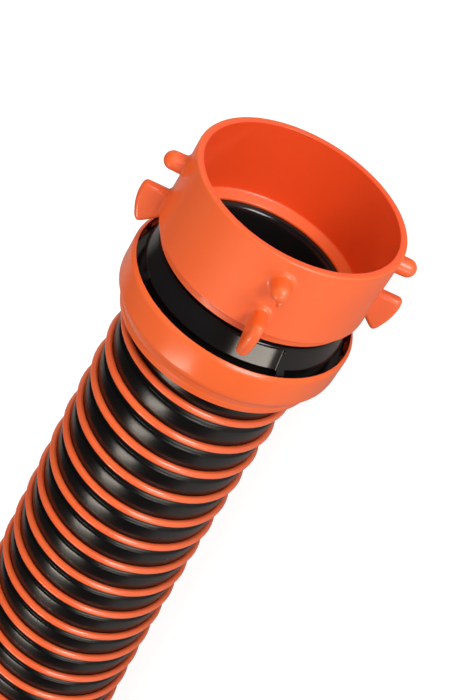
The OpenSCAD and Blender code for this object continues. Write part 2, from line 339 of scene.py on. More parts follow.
@dataclass(frozen=True)
class HoseWall:
    """The black wall: glossy wound strip, a little wavy, duller where a rib lies on it."""

    name: str
    colour: Colour
    roughness: float
    specular: float = 0.5
    grain: Point = (9.0, 20.0)
    wave_scale: float = 120.0
    wave_mm: float = 0.03
    streak_mm: float = 0.003
    streak_lift: float = 1.6
    streak_dulling: float = 0.08
    flank: Point = (0.2, 0.27)
    flank_dulling: float = 0.12

    def build(self) -> bpy.types.Material:
        """Makes the material, which reads the attributes lane and along."""
        material, tree = new_material(self.name)
        wave = tree.noise(tree.out("TexCoord", "Object"), self.wave_scale, 1.0)
        streak = tree.drawn_lines(self.grain)
        flank = tree.ramp(tree.attribute("lane"), *self.flank, 1.0, 0.0)
        paler = tuple(self.streak_lift * c for c in self.colour)
        dulling = streak * self.streak_dulling
        tree.dress(
            {
                "Base Color": tree.mix(streak, self.colour, paler),
                "Roughness": self.roughness + dulling + flank * self.flank_dulling,
                "Specular IOR Level": self.specular,
                "Normal": tree.bump(wave * self.wave_mm + streak * self.streak_mm, 1.0),
            }
        )
        return material


class Finishes:
    """Every finish of the object, made once."""

    def __init__(self) -> None:
        """Makes the materials."""
        self.collar = MouldedPlastic(
            "orange_plastic",
            (0.86, 0.118, 0.012),
            (0.84, 0.108, 0.010),
            0.5,
            specular=0.85,
            coat=0.4,
            # Painted shade inside the mouth: redder, for light bounced round the inner wall.
            mouth_shade=(0.97, 0.082, 0.008),
        ).build()
        self.ring = MouldedPlastic(
            "orange_ring_plastic",
            (0.84, 0.142, 0.038),
            (0.82, 0.130, 0.030),
            0.22,
            roughness_drift=0.03,
            specular=0.36,
        ).build()
        self.hub = MouldedPlastic(
            "black_hub_plastic", (0.006, 0.006, 0.007), (0.009, 0.008, 0.008), 0.13, specular=0.45
        ).build()
        self.wall = HoseWall("black_hose_wall", (0.002, 0.002, 0.0022), 0.22, specular=0.4).build()
        self.rib = DrawnRib("orange_rib", (0.88, 0.14, 0.036), (0.86, 0.125, 0.030), 0.3).build()
        self.rubber = MouldedPlastic(
            "black_rubber",
            (0.016, 0.016, 0.017),
            (0.024, 0.023, 0.022),
            0.62,
            peel_mm=0.6,
            peel_depth_mm=0.008,
        ).build()


# ---- Mesh helpers ----


def link(name: str, data: Any) -> bpy.types.Object:
    """Makes an object of some data and links it to the scene."""
    made = bpy.data.objects.new(name, data)
    bpy.context.scene.collection.objects.link(made)
    return made


def circle(steps: int) -> list[Point]:
    """The cosine and sine of each of the equal steps round a circle."""
    return [(math.cos(TAU * i / steps), math.sin(TAU * i / steps)) for i in range(steps)]


def soften(corners: Sequence[Spot], steps: int = 4) -> list[Point]:
    """Rounds the corners of a closed outline.

    Args:
        corners: the corners in order, as (x, y, how far back the round starts).
        steps: segments in each round.

    Returns:
        The outline, with a support point just before and after each round.
    """
    out: list[Point] = []
    count = len(corners)
    for i, (x, y, reach) in enumerate(corners):
        here = Vector((x, y))
        before = Vector(corners[i - 1][:2]) - here
        after = Vector(corners[(i + 1) % count][:2]) - here
        room = ROUND_SHARE * min(before.length, after.length)
        reach = min(reach, room)
        if reach < LEAST_ROUND:
            out.append((x, y))
            continue
        before.normalize()
        after.normalize()
        support = min(0.15 * reach + 0.05, 0.08 * room + 0.01)
        start, end = here + before * reach, here + after * reach
        out.append(tuple(start + before * support))
        for k in range(steps + 1):
            u = k / steps
            out.append(tuple((1 - u) ** 2 * start + 2 * u * (1 - u) * here + u * u * end))
        out.append(tuple(end + after * support))
    return out


@dataclass
class Shell:
    """Points and faces in millimetres, gathered before they become a mesh."""

    points: list[Spot] = field(default_factory=list)
    faces: list[tuple[int, ...]] = field(default_factory=list)

    def add(self, points: Sequence[Sequence[float]], faces: Sequence[Sequence[int]]) -> None:
        """Adds points, and faces that number them from 0."""
        base = len(self.points)
        self.points.extend(tuple(float(c) for c in p) for p in points)
        self.faces.extend(tuple(base + i for i in f) for f in faces)

    def rows(
        self, rows: Sequence[Sequence[Spot]], loop: bool = False, caps: bool = False
    ) -> None:
        """Joins closed rows of points, each as long as the next.

        Args:
            rows: the rows.
            loop: whether the last row joins the first.
            caps: whether the first and last rows are filled.
        """
        count, total = len(rows[0]), len(rows)
        faces: list[tuple[int, ...]] = []
        for i in range(total if loop else total - 1):
            a, b = i * count, (i + 1) % total * count
            for k in range(count):
                m = (k + 1) % count
                faces.append((a + k, a + m, b + m, b + k))
        if caps:
            faces.append(tuple(reversed(range(count))))
            faces.append(tuple(range((total - 1) * count, total * count)))
        self.add([p for row in rows for p in row], faces)

    def revolve(self, outline: Sequence[Point], steps: int) -> None:
        """Turns a closed outline of (radius, depth) about the axis."""
        turned = [[(r * c, r * s, t) for r, t in outline] for c, s in circle(steps)]
        self.rows(turned, loop=True)

    def boss(
        self, profile: Sequence[Point], middle: Point, steps: int, squash: float = 1.0
    ) -> None:
        """Turns a profile about a line that points away from the fitting's axis.

        Args:
            profile: the boss as (distance from the axis, radius), from foot to tip.
            middle: where the line stands, as (across, depth).
            steps: sides of the boss.
            squash: its width across, as a share of its length along the fitting.
        """
        across, depth = middle
        turned = [
            [(x, across + squash * r * c, depth + r * s) for c, s in circle(steps)]
            for x, r in profile
        ]
        self.rows(turned)

    def build(self, name: str, crisp: float = 50.0) -> bpy.types.Object:
        """Makes an object whose mesh is still in millimetres.

        Args:
            name: the object's name.
            crisp: edges above this angle, in degrees, are shaded sharp.

        Returns:
            The object, with its doubles merged and its faces turned outwards.
        """
        mesh = bpy.data.meshes.new(name)
        mesh.from_pydata(self.points, [], self.faces)
        tidy_mesh(mesh)
        mesh.shade_smooth()
        mesh.set_sharp_from_angle(angle=math.radians(crisp))
        return link(name, mesh)


def tidy_mesh(mesh: bpy.types.Mesh, reach: float = 0.002) -> None:
    """Merges a mesh's doubles and turns its faces outwards."""
    work = bmesh.new()
    work.from_mesh(mesh)
    bmesh.ops.remove_doubles(work, verts=work.verts, dist=reach)
    bmesh.ops.recalc_face_normals(work, faces=work.faces)
    work.to_mesh(mesh)
    work.free()


def evaluated(piece: bpy.types.Object) -> bpy.types.Mesh:
    """The mesh that a piece's modifiers give."""
    bpy.context.view_layer.update()
    graph = bpy.context.evaluated_depsgraph_get()
    return bpy.data.meshes.new_from_object(piece.evaluated_get(graph))


def settle(piece: bpy.types.Object) -> None:
    """Turns a piece's modifiers into a plain mesh, and removes them."""
    mesh = evaluated(piece)
    piece.modifiers.clear()
    piece.data = mesh


# ---- Geometry Nodes ----


def new_group(
    name: str, sockets: Sequence[tuple[str, str]]
) -> tuple[bpy.types.NodeTree, Tree, Any]:
    """Makes a geometry tree that takes a geometry and gives one.

    Args:
        name: the tree's name.
        sockets: the other inputs, as (name, kind of socket).

    Returns:
        The tree, its wrapper and the outputs of its input node.
    """
    group = bpy.data.node_groups.new(name, "GeometryNodeTree")
    for label, kind in (("Geometry", "Geometry"), *sockets):
        group.interface.new_socket(label, in_out="INPUT", socket_type="NodeSocket" + kind)
    group.interface.new_socket("Geometry", in_out="OUTPUT", socket_type="NodeSocketGeometry")
    return group, Tree(group, "GeometryNode"), group.nodes.new("NodeGroupInput").outputs


def finish_group(tree: Tree, geometry: Any, material: Any) -> None:
    """Ends a geometry tree in Realize Instances and Set Material."""
    real = tree.out("RealizeInstances", sockets={"Geometry": geometry})
    dressed = tree.out("SetMaterial", sockets={"Geometry": real, "Material": material})
    tree.feed(tree.tree.nodes.new("NodeGroupOutput").inputs[0], dressed)


def add_nodes(piece: bpy.types.Object, group: bpy.types.NodeTree, **values: Any) -> None:
    """Puts a geometry tree on a piece and sets its inputs.

    Args:
        piece: the piece.
        group: the tree.
        values: the inputs by name, with an underscore for each space.
    """
    modifier = piece.modifiers.new(group.name, "NODES")
    modifier.node_group = group
    for item in group.interface.items_tree:
        key = item.name.replace(" ", "_")
        if item.in_out == "INPUT" and key in values:
            modifier[item.identifier] = values[key]


def round_axis_group() -> bpy.types.NodeTree:
    """Builds the tree that sets copies of a piece round the fitting's axis."""
    inputs_wanted = (
        ("Piece", "Object"),
        ("Count", "Int"),
        ("First angle", "Float"),
        ("Material", "Material"),
    )
    group, tree, inputs = new_group("pieces_round_the_axis", inputs_wanted)
    middle = tree.out(
        "MeshLine",
        sockets={"Count": inputs["Count"], "Start Location": (0, 0, 0), "Offset": (0, 0, 0)},
    )
    index = tree.out("InputIndex")
    angle = index * TAU / Signal(tree, inputs["Count"]) + Signal(tree, inputs["First angle"])
    turn = tree.out("ShaderNodeCombineXYZ", sockets={"Z": angle})
    piece = tree.out("ObjectInfo", "Geometry", sockets={"Object": inputs["Piece"]})
    copies = tree.out(
        "InstanceOnPoints", sockets={"Points": middle, "Instance": piece, "Rotation": turn}
    )
    joined = tree.node("JoinGeometry")
    tree.feed(joined.inputs[0], inputs["Geometry"])
    tree.feed(joined.inputs[0], copies)
    finish_group(tree, joined.outputs[0], inputs["Material"])
    return group


def wound_rib_group() -> bpy.types.NodeTree:
    """Builds the tree that winds a rib round the curve that it is put on.

    The rib is a closed tube that stands half out of the hose. It starts with fine steps
    and goes on with coarse ones, and it stores lane, round the rib, and along, in turns.
    """
    floats = ("Radius", "Pitch", "Start", "Half width", "Height")
    whole = ("Fine steps", "Fine turns", "Coarse steps", "Coarse turns", "Sides")
    wanted = [(n, "Float") for n in floats] + [(n, "Int") for n in whole]
    group, tree, inputs = new_group("rib_wound_on_a_hose", [*wanted, ("Material", "Material")])
    value = {name: Signal(tree, inputs[name]) for name, _ in wanted}
    fine = value["Fine steps"] * value["Fine turns"]
    count = fine + value["Coarse steps"] * value["Coarse turns"] + 1
    grid = tree.out("MeshGrid", sockets={"Vertices X": count, "Vertices Y": value["Sides"] + 1})
    index = tree.out("InputIndex")
    column = tree.math("FLOOR", (index + 0.5) / (value["Sides"] + 1))
    lane = (index - column * (value["Sides"] + 1)) / value["Sides"]
    turns = (
        tree.math("MINIMUM", column, fine) / value["Fine steps"]
        + tree.math("MAXIMUM", column - fine, 0.0) / value["Coarse steps"]
    )
    route = tree.node(
        "SampleCurve",
        {"mode": "LENGTH"},
        {"Curves": inputs["Geometry"], "Length": turns * value["Pitch"] + value["Start"]},
    )
    way = route.outputs["Tangent"]
    side = tree.vector("NORMALIZE", tree.vector("CROSS_PRODUCT", way, (0, 0, 1)))
    up = tree.vector("CROSS_PRODUCT", side, way)
    outward = tree.vector(
        "ADD",
        tree.vector("SCALE", side, scale=tree.math("COSINE", turns * TAU)),
        tree.vector("SCALE", up, scale=tree.math("SINE", turns * TAU)),
    )
    open_ = tree.math("MINIMUM", column, 1.0) * tree.math("MINIMUM", count - 1 - column, 1.0)
    round_ = lane * TAU + math.pi
    lift = value["Radius"] + value["Height"] * tree.math("COSINE", round_) * open_
    drift = value["Half width"] * tree.math("SINE", round_) * open_
    place = tree.vector(
        "ADD",
        tree.vector("ADD", route.outputs["Position"], tree.vector("SCALE", outward, scale=lift)),
        tree.vector("SCALE", way, scale=drift),
    )
    named = grid
    for name, signal in (("lane", lane), ("along", turns)):
        named = tree.out(
            "StoreNamedAttribute",
            settings={"data_type": "FLOAT", "domain": "POINT"},
            sockets={"Geometry": named, "Name": name, "Value": signal},
        )
    moved = tree.out("SetPosition", sockets={"Geometry": named, "Position": place})
    merged = tree.out("MergeByDistance", sockets={"Geometry": moved, "Distance": 1e-6})
    smooth = tree.out("SetShadeSmooth", sockets={"Geometry": merged})
    finish_group(tree, smooth, inputs["Material"])
    return group


# ---- Hose ----


@dataclass
class Hose:
    """The ribbed hose, from its cut end in the lug fitting to the one in the far fitting."""

    finishes: Finishes
    diameter: float = 88.0
    bore: float = 75.6
    pitch: float = 17.59
    first_rib: float = 28.66
    axis_z: float = 53.3
    coil_radius: float = 440.0
    back_length: float = 265.0
    rise_length: float = 400.0
    rib_half_width: float = 1.8
    rib_height: float = 1.75
    rib_sides: int = 12
    rib_margin: float = 4.0
    fine_turns: int = 26
    fine_steps: int = 64
    coarse_steps: int = 32
    end_radius: float = 41.2
    run: tuple[Spot, ...] = (
        (0, 0, 53.3),
        (-50, 0, 53.3),
        (-100, -0.5, 52.8),
        (-150, -1.7, 51.7),
        (-200, -3.6, 50.2),
        (-250, -6.3, 48.4),
        (-300, -9.7, 46.7),
        (-350, -13.8, 45.3),
        (-400, -18.7, 44.3),
        (-450, -24.3, 44),
    )
    # The wall from one rib to the next: (share of the pitch, radius).
    strip: tuple[Point, ...] = (
        (0.0, 41.2),
        (0.115, 41.2),
        (0.18, 41.15),
        (0.24, 41.3),
        (0.275, 41.62),
        (0.292, 41.75),
        (0.302, 41.6),
        (0.312, 42.0),
        (0.33, 42.15),
        (0.36, 42.18),
        (0.42, 42.16),
        (0.5, 42.08),
        (0.6, 41.94),
        (0.7, 41.76),
        (0.8, 41.52),
        (0.885, 41.22),
    )

    def __post_init__(self) -> None:
        """Works out the route every millimetre or two."""
        rows = [np.array(p, float) for p in self.run]
        gaps = [float(np.linalg.norm(b - a)) for a, b in zip(rows, rows[1:])]
        last = len(rows) - 1
        turn = math.atan2(*(rows[last] - rows[last - 1])[1::-1]) % TAU
        ways = [
            (rows[i + 1] - rows[max(i - 1, 0)]) / (gaps[i] + (gaps[i - 1] if i else 0.0))
            for i in range(last)
        ]
        ways.append(np.array([math.cos(turn), math.sin(turn), 0.0]))
        line: list[np.ndarray] = []
        for i, gap in enumerate(gaps):
            for u in np.linspace(0, 1, 50, endpoint=False):
                rise = u * u * (3 - 2 * u)
                line.append(
                    rows[i] * (1 - rise)
                    + rows[i + 1] * rise
                    + ways[i] * gap * u * (1 - u) ** 2
                    - ways[i + 1] * gap * u * u * (1 - u)
                )
        line += self._put_away(rows[-1], turn)
        self.line = np.array(line)
        steps = np.linalg.norm(np.diff(self.line, axis=0), axis=1)
        self.at = np.concatenate([[0.0], np.cumsum(steps)])
        self.length = float(self.at[-1])

    def _put_away(self, start: np.ndarray, turn: float) -> list[np.ndarray]:
        """Follows the put-away turns from the end of the run.

        Args:
            start: the run's last point.
            turn: the heading that it has there, in radians.

        Returns:
            Points along a straight, a half round, the way back, a quarter round and a
            straight.
        """
        arc = self.coil_radius
        parts = (
            (self.diameter, 0.0),
            (arc * (TAU - turn), 1 / arc),
            (self.back_length, 0.0),
            (arc * math.pi / 2, 1 / arc),
            (self.diameter, 0.0),
        )
        total = sum(length for length, _ in parts)
        here, done = start[:2].copy(), 0.0
        out: list[np.ndarray] = []
        for length, bend in parts:
            way = np.array([math.cos(turn), math.sin(turn)])
            across = np.array([-way[1], way[0]])
            for s in np.linspace(0, length, max(2, round(length / 2)), endpoint=False):
                if bend:
                    step = (math.sin(s * bend) * way + (1 - math.cos(s * bend)) * across) / bend
                else:
                    step = s * way
                out.append(np.array([*(here + step), start[2] + self._rise(done + s, total)]))
            if bend:
                a = length * bend
                here = here + (math.sin(a) * way + (1 - math.cos(a)) * across) / bend
                turn += a
            else:
                here = here + length * way
            done += length
        out.append(np.array([*here, self.axis_z]))
        return out

    def _rise(self, s: float, total: float) -> float:
        """How far the hose has risen to its fitting, s along the put-away part."""
        u = (s - (total - self.diameter - self.rise_length)) / self.rise_length
        u = max(0.0, min(1.0, u))
        return (self.axis_z - self.run[-1][2]) * u * u * (3 - 2 * u)

    def frame_at(self, s: np.ndarray) -> tuple[np.ndarray, np.ndarray, np.ndarray]:
        """Finds points on the route, with their sideways and upward directions.

        Args:
            s: distances from the first cut end.

        Returns:
            The points, the sideways directions and the upward ones.
        """

        def on_line(at: np.ndarray) -> np.ndarray:
            """The route's points at these distances."""
            return np.stack([np.interp(at, self.at, self.line[:, i]) for i in range(3)], axis=-1)

        way = on_line(np.minimum(s + 2, self.length)) - on_line(np.maximum(s - 2, 0))
        way /= np.linalg.norm(way, axis=-1, keepdims=True)
        side = np.cross(way, (0.0, 0.0, 1.0))
        side /= np.linalg.norm(side, axis=-1, keepdims=True)
        return on_line(s), side, np.cross(side, way)

    def ring_at(self, s: float, radius: float, sides: int) -> np.ndarray:
        """A ring of points round the route."""
        point, side, up = self.frame_at(np.array([s]))
        a = TAU * np.arange(sides)[:, None] / sides
        return point + radius * (np.cos(a) * side + np.sin(a) * up)

    def turns(self) -> tuple[int, int]:
        """The whole turns before the first cut end, and those up to beyond the last."""
        before = math.ceil(self.first_rib / self.pitch) + 1
        after = math.ceil((self.length - self.first_rib) / self.pitch) + 1
        return before, after

    def build_wall(self) -> bpy.types.Object:
        """Makes the black wall and its bore, one closed tube that follows the rib."""
        before, after = self.turns()
        counts = [self.fine_steps] * (before + self.fine_turns)
        counts += [self.coarse_steps] * (before + after - len(counts))
        turns = [t + k / n for t, n in enumerate(counts) for k in range(n)] + [len(counts)]
        turns = np.array(turns) - before
        lanes = np.array([w for w, _ in self.strip])
        radii = np.array([r for _, r in self.strip])
        s = self.first_rib + (turns[:, None] + lanes) * self.pitch
        radius = np.where((s <= 0) | (s >= self.length), self.end_radius, radii[None, :])
        s = np.clip(s, 0.0, self.length)
        point, side, up = self.frame_at(s)
        angle = (turns * TAU)[:, None, None]
        outer = point + radius[:, :, None] * (np.cos(angle) * side + np.sin(angle) * up)
        rows = len(lanes)
        faces: list[tuple[int, ...]] = []
        starts = np.concatenate([[0], np.cumsum(counts)])
        for t, count in enumerate(counts):
            for k in range(count):
                a = (starts[t] + k) * rows
                b = a + rows
                faces += [(a + j, a + j + 1, b + j + 1, b + j) for j in range(rows - 1)]
                if t + 1 < len(counts):
                    ratio = count // counts[t + 1]
                    c = (starts[t + 1] + k // ratio) * rows
                    d = (starts[t + 1] + (k + 1) // ratio) * rows
                    if c == d:
                        faces.append((a + rows - 1, c, b + rows - 1))
                    else:
                        faces.append((a + rows - 1, c, d, b + rows - 1))
        shell = Shell()
        shell.add(outer.reshape(-1, 3), faces)
        lane = np.tile(lanes, len(turns))
        along = np.repeat(turns, rows)
        self._add_bore(shell, sides=(counts[0], self.coarse_steps))
        spare = len(shell.points) - len(lane)
        mesh = bpy.data.meshes.new("hose_wall")
        mesh.from_pydata(shell.points, [], shell.faces)
        for name, values in (("lane", lane), ("along", along)):
            attribute = mesh.attributes.new(name, "FLOAT", "POINT")
            whole = np.concatenate([values, np.zeros(spare)]).astype(np.float32)
            attribute.data.foreach_set("value", whole)
        tidy_mesh(mesh)
        mesh.transform(Matrix.Scale(MM, 4))
        mesh.shade_smooth()
        mesh.materials.append(self.finishes.wall)
        return link("hose_wall", mesh)

    def _add_bore(self, shell: Shell, sides: tuple[int, int]) -> None:
        """Adds the bore, and the cut ends that join it to the wall.

        Args:
            shell: takes the faces.
            sides: the wall's steps a turn at the first end and at the last one.
        """
        few = sides[1]
        count = round(self.length / self.pitch)
        stations = np.linspace(0.0, self.length, count + 1)
        rings = [self.ring_at(float(s), self.bore / 2, few) for s in stations]
        shell.rows(rings)
        for s, many, ring in ((0.0, sides[0], rings[0]), (self.length, sides[1], rings[-1])):
            edge = self.ring_at(s, self.end_radius, many)
            ratio = many // few
            joins = []
            for k in range(many):
                near, far = many + k // ratio, many + (k + 1) // ratio % few
                face = (k, (k + 1) % many, far)
                joins.append(face if near == far else (*face, near))
            shell.add(np.concatenate([edge, ring]), joins)

    def build_rib(self) -> bpy.types.Object:
        """Makes the orange rib that winds round the wall."""
        curve = bpy.data.curves.new("hose_route", "CURVE")
        curve.dimensions = "3D"
        spline = curve.splines.new("POLY")
        spline.points.add(len(self.line) - 1)
        for point, here in zip(spline.points, self.line):
            point.co = (*(here * MM), 1.0)
        route = link("hose_route", curve)
        first = -math.floor((self.first_rib - self.rib_margin) / self.pitch)
        last = math.floor((self.length - self.rib_margin - self.first_rib) / self.pitch)
        add_nodes(
            route,
            wound_rib_group(),
            Radius=(self.diameter / 2 - self.rib_height) * MM,
            Pitch=self.pitch * MM,
            Start=(self.first_rib + first * self.pitch) * MM,
            Half_width=self.rib_half_width * MM,
            Height=self.rib_height * MM,
            Fine_steps=self.fine_steps,
            Fine_turns=self.fine_turns,
            Coarse_steps=self.coarse_steps,
            Coarse_turns=last - first - self.fine_turns,
            Sides=self.rib_sides,
            Material=self.finishes.rib,
        )
        mesh = evaluated(route)
        bpy.data.objects.remove(route)
        tidy_mesh(mesh, 1e-7)
        return link("hose_rib", mesh)

    def path(self) -> list[Spot]:
        """The route in metres, about every 10 mm."""
        picks = [*range(0, len(self.line) - 3, 6), len(self.line) - 1]
        return [tuple(float(c) * MM for c in self.line[i]) for i in picks]


# ---- Fittings ----


@dataclass(frozen=True)
class Seat:
    """Where a fitting sits: the hose's cut end, and the turn about the vertical."""

    end: Spot
    turn: float
    hub_depth: float = 60.0

    def matrix(self) -> Matrix:
        """From the fitting's own millimetres to metres in the row frame."""
        return (
            Matrix.Scale(MM, 4)
            @ Matrix.Translation(self.end)
            @ Matrix.Rotation(math.radians(self.turn), 4, "Z")
            @ Matrix.Rotation(math.radians(90), 4, "Y")
            @ Matrix.Translation((0, 0, -self.hub_depth))
        )


@dataclass
class Fitting:
    """What the pieces of a fitting share: their seat and the tree that repeats parts."""

    seat: Matrix
    finish: bpy.types.Material
    around: bpy.types.NodeTree

    def add_round(self, body: bpy.types.Object, part: Shell, count: int, first: float) -> None:
        """Sets copies of a part round the axis and joins them to the body.

        Args:
            body: the body, still in millimetres.
            part: the part at angle 0.
            count: how many copies.
            first: the first copy's angle in degrees.
        """
        piece = part.build("one_part")
        add_nodes(
            body,
            self.around,
            Piece=piece,
            Count=count,
            First_angle=math.radians(first),
            Material=self.finish,
        )
        settle(body)
        bpy.data.objects.remove(piece)

    @staticmethod
    def turned(name: str, outline: Sequence[Point], steps: int) -> bpy.types.Object:
        """Turns a closed outline about the fitting's axis, still in millimetres."""
        shell = Shell()
        shell.revolve(outline, steps)
        return shell.build(name, crisp=60)

    def set_down(self, body: bpy.types.Object) -> bpy.types.Object:
        """Puts the finished body in the fitting's seat."""
        body.data.transform(self.seat)
        return body


def root_fillet(
    shell: Shell,
    foot: Sequence[tuple[float, float, float, float]],
    size: Point,
    wall: Callable[[float], float],
    loop: bool,
    steps: int = 8,
) -> None:
    """Adds the moulded round between a boss and the wall that it stands on.

    Args:
        shell: takes the faces.
        foot: the boss's foot as (across, depth, outward across, outward depth).
        size: how far the round spreads on the wall, and how far it climbs the boss.
        wall: the wall's radius at a depth.
        loop: whether the foot's line closes on itself.
        steps: segments in the round.
    """
    spread, climb = size
    rows = []
    for x, y, out_x, out_y in foot:
        section = []
        for k in range(steps + 1):
            a = math.pi / 2 * k / steps
            reach, height = spread * (1 - math.cos(a)), climb * (1 - math.sin(a))
            u, t = x + out_x * reach, y + out_y * reach
            section.append((math.sqrt(wall(t) ** 2 - u * u) + height - SUNK, u, t))
        for reach, height in ((spread, -BURIED), (-UNDER, -BURIED), (-UNDER, climb)):
            u, t = x + out_x * reach, y + out_y * reach
            section.append((math.sqrt(wall(t) ** 2 - u * u) + height, u, t))
        rows.append(section)
    shell.rows(rows, loop=loop, caps=not loop)


@dataclass
class LugCollar(Fitting):
    """The orange swivel collar with its four lugs and four grip wings."""

    count: int = 4
    first: float = 45.0
    first_wing: float = 46.0
    lug_setback: float = 11.4
    lug_reach: float = 59.0
    lug_radius: float = 4.15
    lug_round: Point = (2.6, 1.6)
    gate_angle: float = 130.9
    gate_depth: float = 21.3
    mouth_within: Point = (47.0, 37.8)
    outline: tuple[Spot, ...] = (
        (49.0, 0.0, 0.9),
        (49.05, 18.0, 0.0),
        (49.45, 37.95, 0.9),
        (47.3, 38.35, 0.3),
        (46.6, 42.6, 0.4),
        (44.6, 43.0, 0.3),
        (44.6, 41.9, 0.1),
        (45.6, 41.9, 0.1),
        (45.6, 39.2, 0.1),
        (41.3, 41.83, 0.25),
        (41.3, 40.73, 0.35),
        (45.5, 38.0, 0.9),
        (45.6, 20.0, 0.0),
        (45.6, 0.0, 0.5),
    )

    def build(self, name: str) -> bpy.types.Object:
        """Makes the collar in its seat."""
        collar = self.turned(name, soften(self.outline), 192)
        # Marks the faces inside the mouth, which the orange finish paints redder as shade from
        # light bounced round inside.
        mouth = collar.data.attributes.new("mouth", "FLOAT", "POINT")
        radius, depth = self.mouth_within
        places = [v.co for v in collar.data.vertices]
        inner = [float(math.hypot(*p[:2]) < radius and p.z < depth) for p in places]
        mouth.data.foreach_set("value", inner)
        self.add_round(collar, self.lug(), self.count, self.first)
        self.add_round(collar, Wing().shell(self.wall), self.count, self.first_wing)
        self.add_round(collar, self.gate_mark(), 1, self.gate_angle)
        return self.set_down(collar)

    @staticmethod
    def wall(depth: float) -> float:
        """The outside radius of the collar's wall at a depth."""
        return float(np.interp(depth, (0.9, 18.0, 37.0, 38.0), (49.0, 49.05, 49.43, 49.3)))

    def lug(self) -> Shell:
        """One lug at angle 0: a little draft, a round tip and a round at its root."""
        shell = Shell()
        steps = 32
        tip = self.lug_radius
        dome = self.lug_reach - tip
        profile = [(46.2, 0.0), (46.2, tip + 0.15), (50.4, tip + 0.12), (dome - 0.8, tip + 0.02)]
        for k in range(10):
            a = math.pi / 2 * k / 9
            profile.append((dome + tip * math.sin(a), tip * math.cos(a)))
        shell.boss(profile, (0.0, self.lug_setback), steps)
        r = tip + 0.13
        foot = [(r * c, self.lug_setback + r * s, c, s) for c, s in circle(steps)]
        root_fillet(shell, foot, self.lug_round, self.wall, loop=True)
        return shell

    def gate_mark(self) -> Shell:
        """The trimmed sprue between a lug and its wing, at angle 0."""
        heights = (-0.3, -0.3, 0.15, 0.42, 0.58, 0.62)
        radii = (0.0, 1.3, 1.25, 1.0, 0.55, 0.0)
        profile = [(49.15 + height, r) for height, r in zip(heights, radii)]
        shell = Shell()
        shell.boss(profile, (0.0, self.gate_depth), 16, squash=0.8)
        return shell


@dataclass
class Wing:
    """A grip wing: an upright plate with a full round edge."""

    half: float = 2.7
    edge: float = 2.0
    root: Point = (2.6, 1.5)
    outline: tuple[Spot, ...] = (
        (46.2, 26.3, 0.0),
        (61.3, 26.3, 2.3),
        (61.9, 31.0, 2.0),
        (61.6, 35.0, 2.0),
        (60.6, 39.5, 2.0),
        (58.6, 44.6, 1.6),
        (56.9, 46.6, 1.2),
        (54.6, 45.6, 1.6),
        (46.2, 38.2, 0.0),
    )

    def shell(self, wall: Callable[[float], float]) -> Shell:
        """One wing at angle 0, on a wall whose radius is a function of the depth."""
        shell = Shell()
        rows = [[(x, self.half, t) for x, t in self.inset(self.edge + 0.4)]]
        steps = 10
        for k in range(steps + 1):
            a = math.pi * k / steps
            depth, across = self.edge * (1 - math.sin(a)), self.half * math.cos(a)
            rows.append([(x, across, t) for x, t in self.inset(depth)])
        rows.append([(x, -y, t) for x, y, t in rows[0]])
        shell.rows(rows, caps=True)
        root_fillet(shell, self.foot(), self.root, wall, loop=False)
        return shell

    def inset(self, depth: float) -> list[Point]:
        """The outline moved inwards by a depth, always with as many points."""
        corners = []
        for i, (x, t, reach) in enumerate(self.outline):
            here = Vector((x, t))
            first = (here - Vector(self.outline[i - 1][:2])).normalized()
            second = (Vector(self.outline[(i + 1) % len(self.outline)][:2]) - here).normalized()
            inward = Vector((-first.y - second.y, first.x + second.x)) / (1 + first.dot(second))
            moved = here + inward * depth
            corners.append((moved.x, moved.y, max(0.05, reach - 0.55 * depth) if reach else 0.0))
        return soften(corners, 5)

    def foot(self) -> list[tuple[float, float, float, float]]:
        """The wing's foot on the wall, from one side round its front to the other."""
        front = self.outline[0][1]
        depths = (37.3, 34.0, 31.0, front + self.edge)
        line = [(self.half, t, 1.0, 0.0) for t in depths]
        for k in range(1, 12):
            a = math.pi * k / 12
            out_x, out_y = math.cos(a) * self.edge, -math.sin(a) * self.half
            size = math.hypot(out_x, out_y)
            x, y = self.half * math.cos(a), front + self.edge * (1 - math.sin(a))
            line.append((x, y, out_x / size, out_y / size))
        return line + [(-self.half, t, -1.0, 0.0) for t in reversed(depths)]


